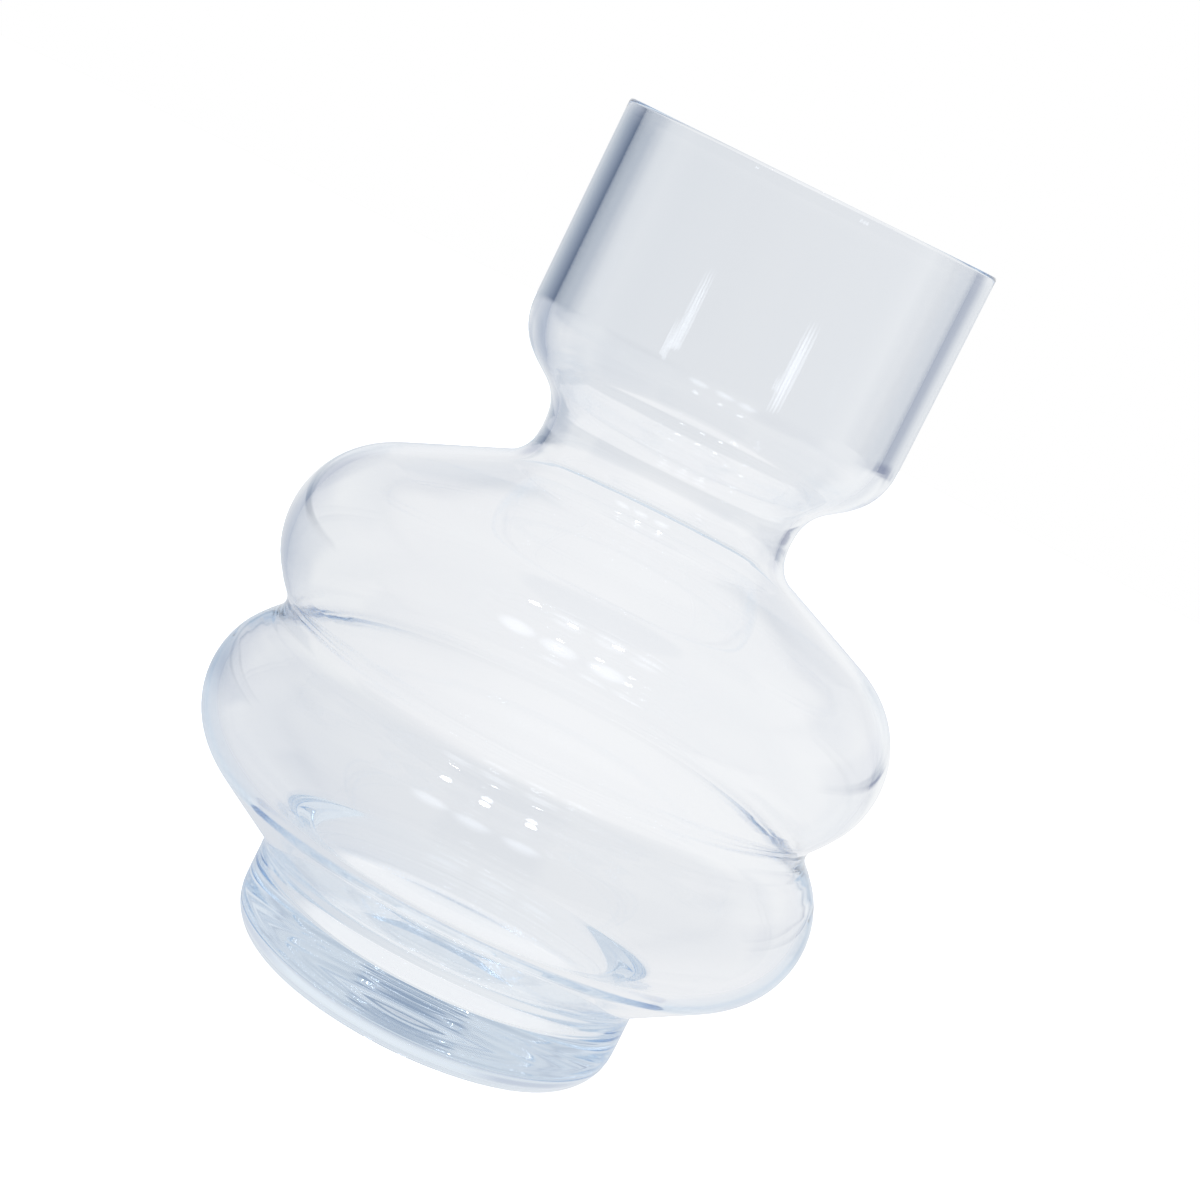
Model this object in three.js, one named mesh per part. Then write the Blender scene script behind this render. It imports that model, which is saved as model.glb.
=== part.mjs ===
// A clear glass propagation bottle, blown in one piece of glass.
// A straight cup stands on a narrow neck, over two stacked bulbs with a waist between them.
// A short thick foot carries them.
// Millimetres, degrees, +Z up. The origin is the middle of the ring that the bottle stands on.
import * as THREE from 'three';

// Foot: a short round block with a rounded lower edge. Its underside is raised a little in the middle
const footRadius = 31.3;
const footHeight = 15.8;
const footEdgeRounding = 7.6;
const footCreaseRounding = 3.8;
const standRingWidth = 6.4;
const puntDepth = 0.6;
const puntRampWidth = 12;
const puntRounding = 60;
const standRingRounding = 3;

// Lower bulb: a sloping underside, a round belly and a flank that slopes in to the waist
const lowerBulbRadius = 50;
const lowerBulbRounding = 13.8;
const undersideSlope = 34;
const lowerFlankSlope = 44;

// Waist: how far its sharp corner is drawn in from the lower bulb's belly
const waistDepth = 7.4;
const waistRounding = 3.5;

// Upper bulb: how far its belly stands out from the waist, and the shoulder that runs in to the neck
const upperBulbBulge = 6.7;
const upperBulbRounding = 15.3;
const upperFlankSlope = 51.5;
const shoulderSlope = 23.7;

// Neck
const neckRadius = 20.7;
const neckLength = 9.3;
const neckLowerRounding = 5.7;
const neckUpperRounding = 7;

// Cup: its floor flares from the neck to a straight wall, which ends in a flat ground rim
const cupRadius = 30;
const cupFloorSlope = 36.6;
const cupRounding = 10;
const cupWallHeight = 37.4;
const rimRounding = 0.5;

// Thickness of the glass at the corners of the outline. Each wall runs evenly from one corner to the next
const creaseWall = 2.2;
const lowerBulbWall = 2.3;
const waistWall = 1.3;
const upperBulbWall = 1.6;
const neckFootWall = 1.5;
const neckTopWall = 1.6;
const cupCornerWall = 2.8;
const rimWall = 2.8;

// Hollow of the foot: how far it reaches down below the crease, and the glass around it
const footHollowDepth = 5;
const footWall = 5.7;

// Roundings on the inside of the glass
const floorCornerRounding = 0.9;
const creaseInnerRounding = 4.4;
const lowerBulbInnerRounding = 12.5;
const waistInnerRounding = 6;
const upperBulbInnerRounding = 17;
const neckFootInnerRounding = 7.2;
const neckTopInnerRounding = 8.6;
const cupInnerRounding = 9;

// The most of a straight side that the roundings at its two ends may take up together
const roundingShare = 0.95;

// Fineness of the mesh: sides around the axis, and how far an arc may stand off its chords
const roundSegments = 44;
const arcTolerance = 0.15;

const glassColour = 0xdde6ee;
const glassRoughness = 0.04;
const glassOpacity = 0.35;

const radians = THREE.MathUtils.degToRad;

// A corner of the outline: its distance from the axis, its height, and the radius that rounds it.
function corner(radius, height, rounding = 0) {
  return { point: new THREE.Vector2(radius, height), rounding };
}

// The sharp corner of a bulb, where its two straight walls would meet.
// The lower wall starts at a corner below. Rounding the bulb's corner gives the bulb its widest radius.
function bulbCorner(below, lowerSlope, upperSlope, widestRadius, rounding) {
  const lower = radians(lowerSlope);
  const upper = radians(upperSlope);
  const lowerNormal = new THREE.Vector2(Math.sin(lower), -Math.cos(lower));
  const upperNormal = new THREE.Vector2(Math.sin(upper), Math.cos(upper));
  const centreRadius = widestRadius - rounding;
  const run = centreRadius - below.point.x;
  const rise = (run * Math.sin(lower) + rounding) / Math.cos(lower);
  const reach = rounding / (1 + lowerNormal.dot(upperNormal));
  const out = lowerNormal.add(upperNormal).multiplyScalar(reach);
  return corner(centreRadius + out.x, below.point.y + rise + out.y, rounding);
}

// The corner that a sloping wall reaches as it climbs from one radius to another.
function climb(from, slope, radius, rounding) {
  const run = Math.abs(radius - from.point.x);
  return corner(radius, from.point.y + run * Math.tan(radians(slope)), rounding);
}

// The outside of the glass from the foot's lower edge to the rim.
function outerCorners() {
  const waistRadius = lowerBulbRadius - waistDepth;
  const upperBulbRadius = waistRadius + upperBulbBulge;
  const footEdge = corner(footRadius, 0, footEdgeRounding);
  const crease = corner(footRadius, footHeight, footCreaseRounding);
  const lowerBulb = bulbCorner(crease, undersideSlope, lowerFlankSlope, lowerBulbRadius, lowerBulbRounding);
  const waist = climb(lowerBulb, lowerFlankSlope, waistRadius, waistRounding);
  const upperBulb = bulbCorner(waist, upperFlankSlope, shoulderSlope, upperBulbRadius, upperBulbRounding);
  const neckFoot = climb(upperBulb, shoulderSlope, neckRadius, neckLowerRounding);
  const neckTop = corner(neckRadius, neckFoot.point.y + neckLength, neckUpperRounding);
  const cupCorner = climb(neckTop, cupFloorSlope, cupRadius, cupRounding);
  const rim = corner(cupRadius, cupCorner.point.y + cupWallHeight, rimRounding);
  return [footEdge, crease, lowerBulb, waist, upperBulb, neckFoot, neckTop, cupCorner, rim];
}

// The inner side of one straight wall, from the thickness of the glass at its two ends.
function innerLine(from, to, fromWall, toWall) {
  const along = to.point.clone().sub(from.point).normalize();
  const inward = new THREE.Vector2(-along.y, along.x);
  const start = from.point.clone().addScaledVector(inward, fromWall);
  const end = to.point.clone().addScaledVector(inward, toWall);
  return { start, along: end.sub(start).normalize() };
}

// The corner where two inner sides cross.
function innerCorner(lower, upper, rounding) {
  const offset = upper.start.clone().sub(lower.start);
  const distance = offset.cross(upper.along) / lower.along.cross(upper.along);
  const point = lower.start.clone().addScaledVector(lower.along, distance);
  return corner(point.x, point.y, rounding);
}

// The inside of the glass from the floor to the rim.
// The foot's wall is straight, and each wall above it runs between the thicknesses at its two ends.
function innerCorners(outer) {
  const [footEdge, ...above] = outer;
  const walls = [
    creaseWall, lowerBulbWall, waistWall, upperBulbWall, neckFootWall, neckTopWall, cupCornerWall, rimWall,
  ];
  const roundings = [
    creaseInnerRounding, lowerBulbInnerRounding, waistInnerRounding, upperBulbInnerRounding,
    neckFootInnerRounding, neckTopInnerRounding, cupInnerRounding,
  ];
  const footLine = innerLine(footEdge, above[0], footWall, footWall);
  const upperLines = above.slice(1).map((to, i) => innerLine(above[i], to, walls[i], walls[i + 1]));
  const lines = [footLine, ...upperLines];
  const floorCentre = corner(0, footHeight - footHollowDepth);
  const floorCorner = corner(footRadius - footWall, footHeight - footHollowDepth, floorCornerRounding);
  const crossings = roundings.map((rounding, i) => innerCorner(lines[i], lines[i + 1], rounding));
  const rim = corner(cupRadius - rimWall, outer.at(-1).point.y, rimRounding);
  return [floorCentre, floorCorner, ...crossings, rim];
}

// The underside from the axis out to the ring that the bottle stands on.
function undersideCorners() {
  const ringInside = footRadius - footEdgeRounding - standRingWidth;
  return [
    corner(0, puntDepth),
    corner(ringInside - puntRampWidth, puntDepth, puntRounding),
    corner(ringInside, 0, standRingRounding),
  ];
}

// How far along its two sides each corner's rounding starts.
// It starts nearer to the corner where two roundings would meet on one side.
function roundingReaches(corners) {
  const sides = corners.slice(1).map((next, i) => next.point.clone().sub(corners[i].point));
  const turns = corners.map((c, i) => {
    const inside = i > 0 && i < corners.length - 1;
    return inside ? Math.atan2(sides[i - 1].cross(sides[i]), sides[i - 1].dot(sides[i])) : 0;
  });
  const wanted = corners.map((c, i) => c.rounding * Math.abs(Math.tan(turns[i] / 2)));
  const rooms = sides.map((side) => side.length() * roundingShare);
  const shares = rooms.map((room, i) => Math.min(1, room / (wanted[i] + wanted[i + 1])));
  const reaches = wanted.map((reach, i) => reach * Math.min(shares[i - 1] ?? 1, shares[i] ?? 1));
  return { sides, turns, reaches };
}

// The outline's points, with every rounded corner drawn as an arc.
function roundedOutline(corners) {
  const { sides, turns, reaches } = roundingReaches(corners);
  return corners.flatMap(({ point }, i) => {
    if (reaches[i] === 0) return [point];
    const along = sides[i - 1].clone().normalize();
    const radius = reaches[i] / Math.abs(Math.tan(turns[i] / 2));
    const start = point.clone().addScaledVector(along, -reaches[i]);
    const towardsCentre = new THREE.Vector2(-along.y, along.x).multiplyScalar(Math.sign(turns[i]));
    const centre = start.clone().addScaledVector(towardsCentre, radius);
    const chordAngle = 2 * Math.acos(1 - arcTolerance / Math.max(radius, arcTolerance));
    const steps = Math.ceil(Math.abs(turns[i]) / chordAngle);
    const spokes = Array.from({ length: steps + 1 }, (_, k) => (turns[i] * k) / steps);
    return spokes.map((angle) => start.clone().rotateAround(centre, angle));
  });
}

// The bottle: one closed outline of the glass, spun about the axis.
function glassBottle() {
  const outer = outerCorners();
  const inner = innerCorners(outer);
  const outline = roundedOutline([...undersideCorners(), ...outer, ...inner.reverse()]);
  const geometry = new THREE.LatheGeometry(outline, roundSegments);
  geometry.rotateX(Math.PI / 2);
  const material = new THREE.MeshStandardMaterial({
    color: glassColour,
    roughness: glassRoughness,
    metalness: 0,
    transparent: true,
    opacity: glassOpacity,
  });
  const mesh = new THREE.Mesh(geometry, material);
  mesh.name = 'glass_bottle';
  return mesh;
}

const bottle = new THREE.Group();
bottle.add(glassBottle());

export default bottle;
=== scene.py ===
"""A clear blown-glass propagation bottle on a pale studio floor.

Metres, +Z up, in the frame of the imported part: the bottle stands on z = 0 with its axis on Z.
"""
import math

import bpy
import numpy as np
from mathutils import Matrix, Vector


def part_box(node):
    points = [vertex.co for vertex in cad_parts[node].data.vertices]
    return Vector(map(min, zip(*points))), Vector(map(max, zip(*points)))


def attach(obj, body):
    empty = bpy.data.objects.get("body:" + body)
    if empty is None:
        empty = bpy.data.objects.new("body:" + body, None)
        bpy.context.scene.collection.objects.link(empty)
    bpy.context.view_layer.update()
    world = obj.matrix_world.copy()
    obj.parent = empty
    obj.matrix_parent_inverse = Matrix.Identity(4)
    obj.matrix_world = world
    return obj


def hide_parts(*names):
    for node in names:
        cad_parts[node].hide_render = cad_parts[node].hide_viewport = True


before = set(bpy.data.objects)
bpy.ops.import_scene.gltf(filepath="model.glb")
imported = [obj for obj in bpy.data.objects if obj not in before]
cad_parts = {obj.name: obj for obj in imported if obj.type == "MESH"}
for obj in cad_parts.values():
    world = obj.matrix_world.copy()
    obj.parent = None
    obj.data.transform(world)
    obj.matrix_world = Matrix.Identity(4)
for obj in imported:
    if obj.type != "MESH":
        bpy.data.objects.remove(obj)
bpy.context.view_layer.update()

NODE = "glass_bottle"
BODY = "root"
MILLIMETRE = 0.001
WHITE = (1.0, 1.0, 1.0, 1.0)

# Camera, from the photograph: level with the rim, a little to the left of the axis, and rolled
PHOTO_SIDE_PX = 1200
FOCAL_PX = 2994
SENSOR_WIDTH_MM = 36
CAMERA_DISTANCE = 0.4457
CAMERA_LEFT = 0.0013
CAMERA_PITCH_DEG = 8.82
CAMERA_ROLL_DEG = 26.36
NEAREST_SEEN = 0.01
FARTHEST_SEEN = 50

# Fineness of the glass mesh
SIDES_AROUND = 192
LARGEST_STEP = 1.6 * MILLIMETRE
LARGEST_TURN_DEG = 4.0
SAME_PLACE = 0.002 * MILLIMETRE

# Glass: smooth and clear, with a tint that shows where it is deep
GLASS_IOR = 1.5
GLASS_ROUGHNESS = 0.0
GLASS_CLEARNESS = 1.0
GLASS_TINT = (0.25, 0.60, 0.88, 1.0)
GLASS_TINT_DENSITY = 3.6
# Light turns many times in the thick foot before it leaves the glass
LIGHT_BOUNCES = 200

# Floor, and its look to the camera. A film of air lies between it and the glass that stands on it
FLOOR_RADIUS = 1.5
FLOOR_SIDES = 64
FLOOR_HEIGHT = -0.05 * MILLIMETRE
FLOOR_COLOUR = (0.93, 0.935, 0.94, 1.0)
FLOOR_GLOW = 0.85

# Floor, as the glass shows it: it glows with painted light and shade. Each list of shades runs from left
# (-1) to right (1), by direction.
# FROM and TO are the distances from the axis between which one shade goes over into the next

# A painted pool of light on the floor right under the foot, where the foot gathers light
PAINTED_LIGHT_UNDER_FOOT = (0.99, 0.99, 1.00, 1.0)
LIT_FROM = 0.019
LIT_TO = 0.024
# Close to the bottle: painted shade, the bottle's shadow on the floor, darker to the left
NEAR_PAINTED_SHADES = [
    (-0.80, (0.72, 0.75, 0.80)),
    (0.00, (0.80, 0.82, 0.85)),
    (0.80, (0.87, 0.88, 0.90)),
]
NEAR_FROM = 0.10
NEAR_TO = 0.20
# Further off: painted shade, darker towards the left and a little to the right
FURTHER_PAINTED_SHADES = [
    (-0.90, (0.36, 0.42, 0.54)),
    (-0.64, (0.50, 0.55, 0.64)),
    (-0.46, (0.69, 0.72, 0.77)),
    (-0.30, (0.83, 0.85, 0.87)),
    (-0.15, (0.88, 0.89, 0.91)),
    (0.00, (0.92, 0.93, 0.95)),
    (0.50, (0.93, 0.94, 0.95)),
    (0.64, (0.84, 0.86, 0.89)),
    (0.90, (0.80, 0.83, 0.87)),
]
FAR_FROM = 0.80
FAR_TO = 1.10
# Far off: painted shade, with darker bands to the left and the right
FAR_PAINTED_SHADES = [
    (-0.90, (0.40, 0.45, 0.54)),
    (-0.68, (0.46, 0.51, 0.60)),
    (-0.50, (0.62, 0.66, 0.73)),
    (-0.36, (0.54, 0.58, 0.66)),
    (-0.28, (0.62, 0.66, 0.72)),
    (-0.17, (0.76, 0.79, 0.83)),
    (0.00, (0.80, 0.82, 0.85)),
    (0.15, (0.82, 0.84, 0.87)),
    (0.40, (0.82, 0.84, 0.87)),
    (0.46, (0.38, 0.42, 0.52)),
    (0.58, (0.26, 0.29, 0.40)),
    (0.90, (0.36, 0.40, 0.50)),
]
# At its rim the floor takes the shades that the surroundings have just below the level of the eye
RIM_FROM = 1.30
RIM_TO = 1.48

# Surroundings, which the glass shows and the camera sees as white. Their shades go by direction too.
# FROM and TO are heights of the direction, from level (0) to straight up (1), unless it says otherwise

# Just below the level of the eye
LOW_SHADES = [
    (-0.90, (0.22, 0.27, 0.37)),
    (-0.70, (0.10, 0.14, 0.22)),
    (-0.57, (0.28, 0.33, 0.43)),
    (-0.41, (0.41, 0.47, 0.55)),
    (-0.28, (0.52, 0.57, 0.64)),
    (-0.17, (0.74, 0.77, 0.81)),
    (0.00, (0.79, 0.81, 0.84)),
    (0.15, (0.82, 0.84, 0.87)),
    (0.40, (0.82, 0.84, 0.87)),
    (0.50, (0.60, 0.64, 0.70)),
    (0.58, (0.44, 0.48, 0.57)),
    (0.70, (0.42, 0.46, 0.55)),
    (0.90, (0.50, 0.55, 0.63)),
]
LEVEL_FROM = -0.010
LEVEL_TO = 0.010
# Just above it
HIGHER_SHADES = [
    (-0.90, (0.80, 0.82, 0.86)),
    (-0.65, (0.60, 0.63, 0.71)),
    (-0.40, (0.60, 0.63, 0.71)),
    (-0.25, (0.86, 0.88, 0.91)),
    (0.00, (0.92, 0.93, 0.95)),
    (0.40, (0.91, 0.93, 0.95)),
    (0.60, (0.74, 0.76, 0.82)),
    (0.90, (0.64, 0.67, 0.74)),
]
SKY_FROM = 0.14
SKY_TO = 0.26
# The sky, by height of the direction
SKY_SHADES = [
    (0.20, (0.86, 0.87, 0.89)),
    (0.34, (0.76, 0.78, 0.82)),
    (0.44, (0.68, 0.71, 0.77)),
    (0.54, (0.50, 0.54, 0.62)),
    (0.62, (0.74, 0.76, 0.80)),
    (0.82, (0.77, 0.79, 0.82)),
]
# A darker patch straight above
OVERHEAD_SHADE = (0.32, 0.39, 0.50, 1.0)
OVERHEAD_FROM = 0.938
OVERHEAD_TO = 0.964
# The camera's side of the studio. FROM and TO are how far the direction points away from the camera
FRONT_SHADE = (0.60, 0.64, 0.70, 1.0)
FRONT_FROM = 0.10
FRONT_TO = -0.30
# Pale panels straight to the left and right, on the floor too.
# FROM and TO are how far the direction points to either side
SIDE_SHADE = (0.82, 0.84, 0.87, 1.0)
SIDE_FROM = 0.94
SIDE_TO = 0.975

# Rows of soft round lamps, which make the highlights. Bearings turn to the right from the camera's side.
# Bearings, elevations and radii are in degrees, and the gain is over the shade there
PANELS = {
    "bearings": (-28, -9.5, 11.5), "elevation": 36, "bright_radius": 1.0, "soft_radius": 8.0, "gain": 2.4,
}
SMALL_LAMPS = {
    "bearings": (-42, -13, 18), "elevation": 65, "bright_radius": 0.8, "soft_radius": 1.8, "gain": 90,
}
STREAK_LAMPS = {
    "bearings": (33.5, 35.5, 37.5), "elevation": -3.3, "bright_radius": 0.5, "soft_radius": 1.2, "gain": 4,
}
SHORT_STREAK_LAMPS = {
    "bearings": (-36.3, -35.0), "elevation": -4.0, "bright_radius": 0.3, "soft_radius": 0.7, "gain": 5,
}
LAMP_ROWS = [PANELS, SMALL_LAMPS, STREAK_LAMPS, SHORT_STREAK_LAMPS]


def cad_outline(node):
    """The glass in the half plane of its axis, read from the CAD node's mesh as (radius, height) in order.

    It runs from the middle of the underside, up the outside, over the rim and down the inside to the floor.
    """
    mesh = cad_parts[node].data
    places = {}
    key_of = {}
    for vertex in mesh.vertices:
        x, y, z = vertex.co
        if abs(x) < SAME_PLACE and y < SAME_PLACE:
            key = (round(-y / SAME_PLACE), round(z / SAME_PLACE))
            places[key] = (max(-y, 0.0), z)
            key_of[vertex.index] = key
    beside = {key: set() for key in places}
    for edge in mesh.edges:
        a, b = (key_of.get(i) for i in edge.vertices)
        if a is not None and b is not None and a != b:
            beside[a].add(b)
            beside[b].add(a)
    on_axis = sorted((key for key in places if key[0] == 0), key=lambda key: key[1])
    here = on_axis[0]
    path = [here]
    while here != on_axis[-1]:
        here = next(key for key in beside[here] if key not in path)
        path.append(here)
    return np.array([places[key] for key in path])


def fine_outline(points):
    """A finer outline through the CAD's points, on cubic pieces.

    Each tangent leans towards the longer of the two sides that meet there, so straight walls stay straight.
    Heights stay between the CAD's lowest and highest, so the rim and the ring it stands on are flat.
    """
    sides = np.diff(points, axis=0)
    lengths = np.linalg.norm(sides, axis=1)
    leaning = sides * lengths[:, None]
    tangents = np.vstack([leaning[0], leaning[:-1] + leaning[1:], leaning[-1]])
    # The outline leaves the axis and comes back to it level
    tangents[0] = (1.0, 0.0)
    tangents[-1] = (-1.0, 0.0)
    tangents /= np.linalg.norm(tangents, axis=1)[:, None]
    fine = [points[0]]
    for i, length in enumerate(lengths):
        cosine = np.clip(tangents[i] @ tangents[i + 1], -1.0, 1.0)
        turn = math.degrees(math.acos(cosine))
        steps = max(1, math.ceil(turn / LARGEST_TURN_DEG), math.ceil(length / LARGEST_STEP))
        t = (np.arange(1, steps + 1) / steps)[:, None]
        fine.extend(
            points[i] * (2 * t**3 - 3 * t**2 + 1)
            + tangents[i] * length * (t**3 - 2 * t**2 + t)
            + points[i + 1] * (3 * t**2 - 2 * t**3)
            + tangents[i + 1] * length * (t**3 - t**2)
        )
    fine = np.array(fine)
    fine[:, 1] = fine[:, 1].clip(points[:, 1].min(), points[:, 1].max())
    return fine


def angles_around(sides):
    return np.arange(sides) * 2 * math.pi / sides


def spun_mesh(name, outline):
    """A closed mesh: the outline, which starts and ends on the axis, spun about Z."""
    rings = outline[1:-1]
    angles = angles_around(SIDES_AROUND)
    radii, heights = rings[:, :1], rings[:, 1:]
    x = radii * np.cos(angles)
    y = radii * np.sin(angles)
    z = heights + np.zeros(SIDES_AROUND)
    ring_points = np.stack([x, y, z], axis=-1).reshape(-1, 3)
    first, last = outline[0, 1], outline[-1, 1]
    points = np.vstack([ring_points, [(0, 0, first), (0, 0, last)]])
    first_pole, last_pole = len(points) - 2, len(points) - 1
    last_ring = (len(rings) - 1) * SIDES_AROUND
    faces = []
    for side in range(SIDES_AROUND):
        after = (side + 1) % SIDES_AROUND
        faces.append((first_pole, after, side))
        for ring in range(len(rings) - 1):
            low, high = ring * SIDES_AROUND, (ring + 1) * SIDES_AROUND
            faces.append((low + side, low + after, high + after, high + side))
        faces.append((last_ring + side, last_ring + after, last_pole))
    mesh = bpy.data.meshes.new(name)
    mesh.from_pydata(points.tolist(), [], faces)
    mesh.update()
    mesh.shade_smooth()
    return mesh


def add_object(name, data):
    made = bpy.data.objects.new(name, data)
    bpy.context.scene.collection.objects.link(made)
    return made


def new_material(name):
    """An empty node material, its node tree and its output."""
    material = bpy.data.materials.new(name)
    material.use_nodes = True
    tree = material.node_tree
    tree.nodes.clear()
    return material, tree, tree.nodes.new("ShaderNodeOutputMaterial")


def glass_material():
    material, tree, output = new_material("clear_glass")
    surface = tree.nodes.new("ShaderNodeBsdfPrincipled")
    surface.inputs["Base Color"].default_value = WHITE
    surface.inputs["Roughness"].default_value = GLASS_ROUGHNESS
    surface.inputs["IOR"].default_value = GLASS_IOR
    surface.inputs["Transmission Weight"].default_value = GLASS_CLEARNESS
    tint = tree.nodes.new("ShaderNodeVolumeAbsorption")
    tint.inputs["Color"].default_value = GLASS_TINT
    tint.inputs["Density"].default_value = GLASS_TINT_DENSITY
    tree.links.new(surface.outputs["BSDF"], output.inputs["Surface"])
    tree.links.new(tint.outputs["Volume"], output.inputs["Volume"])
    return material


def fade(tree, value, start, end, before, after):
    """A colour that goes smoothly from one to another as a value passes from start to end."""
    place = tree.nodes.new("ShaderNodeMapRange")
    place.interpolation_type = "SMOOTHSTEP"
    place.inputs["From Min"].default_value = start
    place.inputs["From Max"].default_value = end
    tree.links.new(value, place.inputs["Value"])
    mix = tree.nodes.new("ShaderNodeMix")
    mix.data_type = "RGBA"
    sockets = {socket.identifier: socket for socket in [*mix.inputs, *mix.outputs]}
    tree.links.new(place.outputs["Result"], sockets["Factor_Float"])
    for name, colour in (("A_Color", before), ("B_Color", after)):
        if isinstance(colour, tuple):
            sockets[name].default_value = colour
        else:
            tree.links.new(colour, sockets[name])
    return sockets["Result_Color"]


def shade_ramp(tree, value, shades):
    """A colour ramp over a value, from (value, colour) stops in order. The ramp itself runs from 0 to 1."""
    low, high = shades[0][0], shades[-1][0]
    place = tree.nodes.new("ShaderNodeMapRange")
    place.inputs["From Min"].default_value = low
    place.inputs["From Max"].default_value = high
    ramp = tree.nodes.new("ShaderNodeValToRGB")
    stops = ramp.color_ramp.elements
    while len(stops) < len(shades):
        stops.new(position=0.5)
    for stop, (at, colour) in zip(stops, shades):
        stop.position = (at - low) / (high - low)
        stop.color = (*colour, 1.0)
    tree.links.new(value, place.inputs["Value"])
    tree.links.new(place.outputs["Result"], ramp.inputs["Fac"])
    return ramp.outputs["Color"]


def across_ramp(tree, across, shades):
    """A colour ramp from left to right, with the pale panels at its two ends."""
    off_centre = tree.nodes.new("ShaderNodeMath")
    off_centre.operation = "ABSOLUTE"
    tree.links.new(across, off_centre.inputs[0])
    ramp = shade_ramp(tree, across, shades)
    return fade(tree, off_centre.outputs["Value"], SIDE_FROM, SIDE_TO, ramp, SIDE_SHADE)


def show_both(tree, output, in_glass, to_camera):
    """One shader for what the glass shows, and another for what the camera sees past the glass."""
    path = tree.nodes.new("ShaderNodeLightPath")
    mix = tree.nodes.new("ShaderNodeMixShader")
    tree.links.new(path.outputs["Is Camera Ray"], mix.inputs["Fac"])
    tree.links.new(in_glass, mix.inputs[1])
    tree.links.new(to_camera, mix.inputs[2])
    tree.links.new(mix.outputs["Shader"], output.inputs["Surface"])


def painted_floor_shade(tree):
    """The floor's painted light and shade in the glass, by distance from the axis and by direction across.
    """
    place = tree.nodes.new("ShaderNodeNewGeometry")
    away = tree.nodes.new("ShaderNodeVectorMath")
    away.operation = "LENGTH"
    towards = tree.nodes.new("ShaderNodeVectorMath")
    towards.operation = "NORMALIZE"
    split = tree.nodes.new("ShaderNodeSeparateXYZ")
    tree.links.new(place.outputs["Position"], away.inputs[0])
    tree.links.new(place.outputs["Position"], towards.inputs[0])
    tree.links.new(towards.outputs["Vector"], split.inputs["Vector"])
    distance = away.outputs["Value"]
    across = split.outputs["X"]
    near = shade_ramp(tree, across, NEAR_PAINTED_SHADES)
    further = across_ramp(tree, across, FURTHER_PAINTED_SHADES)
    far = across_ramp(tree, across, FAR_PAINTED_SHADES)
    rim = across_ramp(tree, across, LOW_SHADES)
    shade = fade(tree, distance, LIT_FROM, LIT_TO, PAINTED_LIGHT_UNDER_FOOT, near)
    shade = fade(tree, distance, NEAR_FROM, NEAR_TO, shade, further)
    shade = fade(tree, distance, FAR_FROM, FAR_TO, shade, far)
    return fade(tree, distance, RIM_FROM, RIM_TO, shade, rim)


def floor_material():
    material, tree, output = new_material("pale_floor")
    pale = tree.nodes.new("ShaderNodeBsdfDiffuse")
    pale.inputs["Color"].default_value = FLOOR_COLOUR
    glow = tree.nodes.new("ShaderNodeEmission")
    glow.inputs["Strength"].default_value = FLOOR_GLOW
    glowing = tree.nodes.new("ShaderNodeAddShader")
    tree.links.new(pale.outputs["BSDF"], glowing.inputs[0])
    tree.links.new(glow.outputs["Emission"], glowing.inputs[1])
    # In the glass the floor glows with its painted light and shade; the camera sees it evenly pale
    in_glass = tree.nodes.new("ShaderNodeEmission")
    tree.links.new(painted_floor_shade(tree), in_glass.inputs["Color"])
    show_both(tree, output, in_glass.outputs["Emission"], glowing.outputs["Shader"])
    return material


def make_bottle():
    outline = fine_outline(cad_outline(NODE))
    bottle = add_object("blown_glass", spun_mesh("blown_glass", outline))
    bottle.data.materials.append(glass_material())
    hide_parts(NODE)
    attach(bottle, BODY)


def make_floor():
    mesh = bpy.data.meshes.new("floor")
    angles = angles_around(FLOOR_SIDES)
    rim = [(FLOOR_RADIUS * math.cos(a), FLOOR_RADIUS * math.sin(a), FLOOR_HEIGHT) for a in angles]
    mesh.from_pydata(rim, [], [tuple(range(len(rim)))])
    floor = add_object("floor", mesh)
    mesh.materials.append(floor_material())


def make_camera():
    data = bpy.data.cameras.new("camera")
    data.sensor_width = SENSOR_WIDTH_MM
    data.lens = FOCAL_PX / PHOTO_SIDE_PX * SENSOR_WIDTH_MM
    data.clip_start = NEAREST_SEEN
    data.clip_end = FARTHEST_SEEN
    camera = add_object("camera", data)
    pitch = math.radians(CAMERA_PITCH_DEG)
    roll = math.radians(CAMERA_ROLL_DEG)
    forward = Vector((0, math.cos(pitch), -math.sin(pitch)))
    level_up = Vector((0, math.sin(pitch), math.cos(pitch)))
    level_right = Vector((1, 0, 0))
    up = level_up * math.cos(roll) - level_right * math.sin(roll)
    right = level_right * math.cos(roll) + level_up * math.sin(roll)
    turn = Matrix((right, up, -forward)).transposed()
    rim_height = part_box(NODE)[1][2]
    place = Vector((-CAMERA_LEFT, -CAMERA_DISTANCE, rim_height))
    camera.matrix_world = Matrix.Translation(place) @ turn.to_4x4()
    bpy.context.scene.camera = camera


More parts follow.
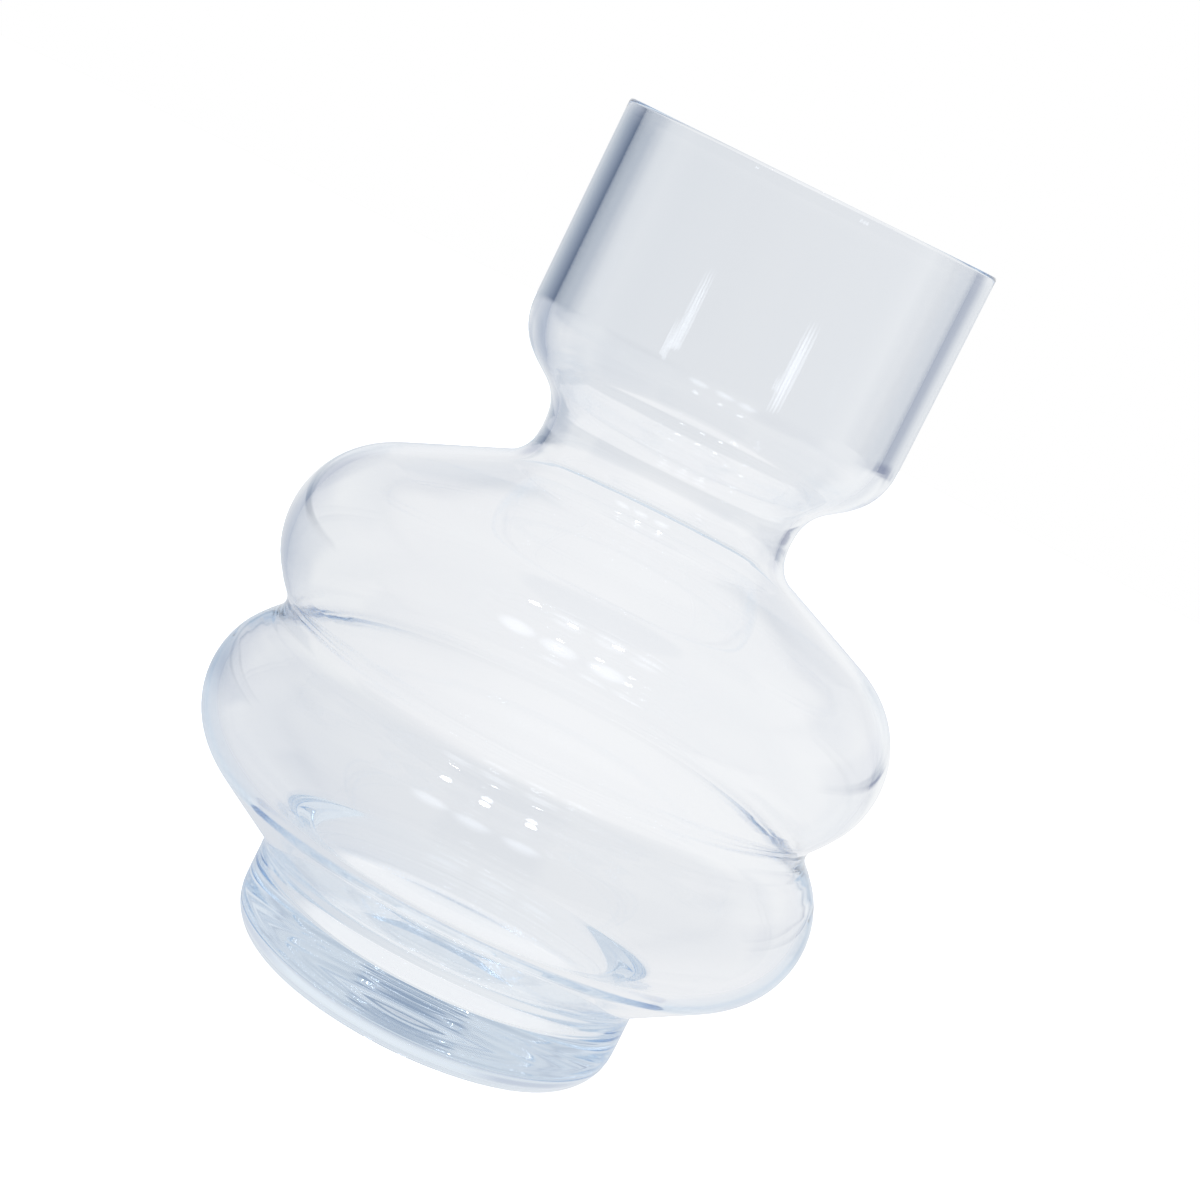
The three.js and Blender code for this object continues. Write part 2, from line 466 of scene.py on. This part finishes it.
def lamp_gain(tree, direction, bearing, row, so_far):
    """The gain of a direction's shade so far, with one lamp of a row added."""
    turn, rise = math.radians(bearing), math.radians(row["elevation"])
    facing = tree.nodes.new("ShaderNodeVectorMath")
    facing.operation = "DOT_PRODUCT"
    facing.inputs[1].default_value = (
        math.sin(turn) * math.cos(rise), -math.cos(turn) * math.cos(rise), math.sin(rise),
    )
    spot = tree.nodes.new("ShaderNodeMapRange")
    spot.interpolation_type = "SMOOTHSTEP"
    spot.inputs["From Min"].default_value = math.cos(math.radians(row["soft_radius"]))
    spot.inputs["From Max"].default_value = math.cos(math.radians(row["bright_radius"]))
    spot.inputs["To Max"].default_value = row["gain"]
    total = tree.nodes.new("ShaderNodeMath")
    total.operation = "ADD"
    total.inputs[0].default_value = 1.0
    tree.links.new(direction, facing.inputs[0])
    tree.links.new(facing.outputs["Value"], spot.inputs["Value"])
    tree.links.new(spot.outputs["Result"], total.inputs[1])
    if so_far is not None:
        tree.links.new(so_far, total.inputs[0])
    return total.outputs["Value"]


def surroundings_shade(tree, direction):
    """The shade of the surroundings in the glass, by direction and without the lamps."""
    split = tree.nodes.new("ShaderNodeSeparateXYZ")
    tree.links.new(direction, split.inputs["Vector"])
    across, back, height = (split.outputs[axis] for axis in "XYZ")
    low = across_ramp(tree, across, LOW_SHADES)
    higher = across_ramp(tree, across, HIGHER_SHADES)
    sky = shade_ramp(tree, height, SKY_SHADES)
    shade = fade(tree, height, LEVEL_FROM, LEVEL_TO, low, higher)
    shade = fade(tree, height, SKY_FROM, SKY_TO, shade, sky)
    shade = fade(tree, back, FRONT_FROM, FRONT_TO, shade, FRONT_SHADE)
    return fade(tree, height, OVERHEAD_FROM, OVERHEAD_TO, shade, OVERHEAD_SHADE)


def make_world():
    world = bpy.data.worlds.new("studio")
    world.use_nodes = True
    bpy.context.scene.world = world
    tree = world.node_tree
    tree.nodes.clear()
    output = tree.nodes.new("ShaderNodeOutputWorld")
    direction = tree.nodes.new("ShaderNodeTexCoord").outputs["Generated"]
    gain = None
    for row in LAMP_ROWS:
        for bearing in row["bearings"]:
            gain = lamp_gain(tree, direction, bearing, row, gain)
    in_glass = tree.nodes.new("ShaderNodeBackground")
    tree.links.new(surroundings_shade(tree, direction), in_glass.inputs["Color"])
    tree.links.new(gain, in_glass.inputs["Strength"])
    to_camera = tree.nodes.new("ShaderNodeBackground")
    to_camera.inputs["Color"].default_value = WHITE
    show_both(tree, output, in_glass.outputs["Background"], to_camera.outputs["Background"])


make_camera()
make_bottle()
make_floor()
make_world()
bpy.context.scene.view_settings.view_transform = "Standard"
bpy.context.scene.cycles.max_bounces = LIGHT_BOUNCES
bpy.context.scene.cycles.transmission_bounces = LIGHT_BOUNCES
bpy.context.scene.cycles.glossy_bounces = LIGHT_BOUNCES
